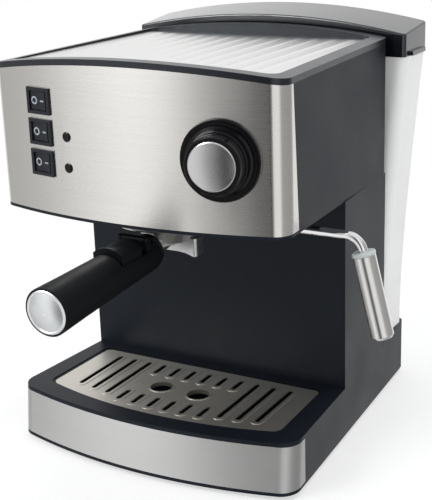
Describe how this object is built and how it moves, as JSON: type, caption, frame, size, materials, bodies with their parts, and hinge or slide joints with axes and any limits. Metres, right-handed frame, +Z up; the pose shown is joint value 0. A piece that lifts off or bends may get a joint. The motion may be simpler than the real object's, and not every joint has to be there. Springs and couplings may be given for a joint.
{
  "type": "pump espresso machine",
  "caption": "Counter-top pump espresso machine with a bowed steel front, rocker switches, steam knob, filter holder, steam wand, drip tray, cup-warming top and rear water tank.",
  "frame": {"origin": "on the counter plane, under the middle of the base's footprint, in the machine's plane of symmetry", "axes": "+X to the machine's right seen from the front, +Y to the back, +Z up; the front faces -Y"},
  "size_m": [0.2674, 0.334, 0.2868],
  "materials": {
    "black_plastic": "satin",
    "brushed_steel": "brushed",
    "plate_steel": "bright",
    "chrome": "polished",
    "cap_silver": "satin",
    "gloss_black": "gloss",
    "grey_plastic": "satin",
    "tank_plastic": "translucent",
    "rubber": "matte",
    "cast_alloy": "as cast",
    "brass": "machined",
    "zinc_steel": "plated",
    "lens": "gloss"
  },
  "bodies": {
    "housing": {"back_cover": "black_plastic", "base_plate": "zinc_steel", "base_trim": "brushed_steel", "boiler_base": "cast_alloy", "boiler_screws": "zinc_steel", "boiler_top": "cast_alloy", "case_screws": "zinc_steel", "column_shell": "black_plastic", "cord_gland": "black_plastic", "cover_screws": "zinc_steel", "cup_plate": "plate_steel", "feet": "rubber", "front_panel": "brushed_steel", "group_gasket": "rubber", "group_ring": "cast_alloy", "head_shell": "black_plastic", "heating_element": "zinc_steel", "knob_bezel": "gloss_black", "lamp_lenses": "lens", "lower_housing": "black_plastic", "pressure_pipe": "zinc_steel", "pump_body": "grey_plastic", "pump_bracket": "zinc_steel", "pump_coil": "zinc_steel", "pump_mounts": "rubber", "shower_screen": "plate_steel", "shower_screw": "zinc_steel", "steam_pipe": "zinc_steel", "steam_valve": "brass", "suction_hose": "rubber", "switch_frames": "black_plastic", "tank_seal": "rubber", "tank_seat": "black_plastic", "thermostats": "zinc_steel", "top_frame": "black_plastic", "wand_feed": "zinc_steel", "wand_socket": "brass"},
    "rocker_1": {"rocker_1": "black_plastic"},
    "rocker_2": {"rocker_2": "black_plastic"},
    "rocker_3": {"rocker_3": "black_plastic"},
    "knob": {"steam_knob": "gloss_black", "knob_cap": "cap_silver", "knob_spindle": "brass"},
    "holder": {"filter_holder": "chrome", "spout": "chrome", "handle": "black_plastic", "handle_cap": "cap_silver", "clip_pin": "black_plastic", "filter_basket": "plate_steel"},
    "clip": {"filter_clip": "black_plastic"},
    "wand": {"wand_pipe": "chrome", "wand_collar": "grey_plastic", "wand_tip": "brass"},
    "sleeve": {"frother_sleeve": "brushed_steel"},
    "tray": {"drip_tray": "black_plastic"},
    "grid": {"drip_grid": "brushed_steel"},
    "tank": {"water_tank": "tank_plastic", "tank_outlet": "grey_plastic"},
    "poppet": {"tank_poppet": "grey_plastic"},
    "lid": {"tank_lid": "black_plastic"}
  },
  "joints": [
    {"name": "rocker_1_tip", "type": "hinge", "parent": "housing", "child": "rocker_1", "pos_m": [-0.06181, -0.11112, 0.2479], "axis": [0, 0, 1], "range_deg": [0, 8]},
    {"name": "rocker_2_tip", "type": "hinge", "parent": "housing", "child": "rocker_2", "pos_m": [-0.06181, -0.11112, 0.2279], "axis": [0, 0, 1], "range_deg": [0, 8]},
    {"name": "rocker_3_tip", "type": "hinge", "parent": "housing", "child": "rocker_3", "pos_m": [-0.06181, -0.11112, 0.2079], "axis": [0, 0, 1], "range_deg": [0, 8]},
    {"name": "knob_turn", "type": "hinge", "parent": "housing", "child": "knob", "pos_m": [0.0684, -0.11398, 0.2205], "axis": [0.1889, -0.982, 0], "range_deg": [0, 270]},
    {"name": "holder_turn", "type": "hinge", "parent": "housing", "child": "holder", "pos_m": [0, -0.063, 0.165], "axis": [0, 0, 1], "range_deg": [-45, 10]},
    {"name": "clip_flip", "type": "hinge", "parent": "holder", "child": "clip", "pos_m": [0, -0.10838, 0.16231], "axis": [-1, 0, 0], "range_deg": [0, 14]},
    {"name": "wand_swing", "type": "hinge", "parent": "housing", "child": "wand", "pos_m": [0.085, -0.058, 0.18], "axis": [0, 0, 1], "range_deg": [-80, 40]},
    {"name": "sleeve_pull", "type": "slide", "parent": "wand", "child": "sleeve", "axis": [0.2436, 0, -0.9699], "range_m": [0, 0.03]},
    {"name": "tray_lift", "type": "slide", "parent": "housing", "child": "tray", "axis": [0, 0, 1], "range_m": [0, 0.03]},
    {"name": "grid_lift", "type": "slide", "parent": "tray", "child": "grid", "axis": [0, 0, 1], "range_m": [0, 0.04]},
    {"name": "tank_lift", "type": "slide", "parent": "housing", "child": "tank", "axis": [0, 0, 1], "range_m": [0, 0.11]},
    {"name": "poppet_close", "type": "slide", "parent": "tank", "child": "poppet", "axis": [0, 0, -1], "range_m": [0, 0.0011]},
    {"name": "lid_lift", "type": "slide", "parent": "tank", "child": "lid", "axis": [0, 0, 1], "range_m": [0, 0.05]}
  ],
  "couplings": [
    {"joint": "poppet_close", "follows": "tank_lift", "ratio": 0.01}
  ]
}
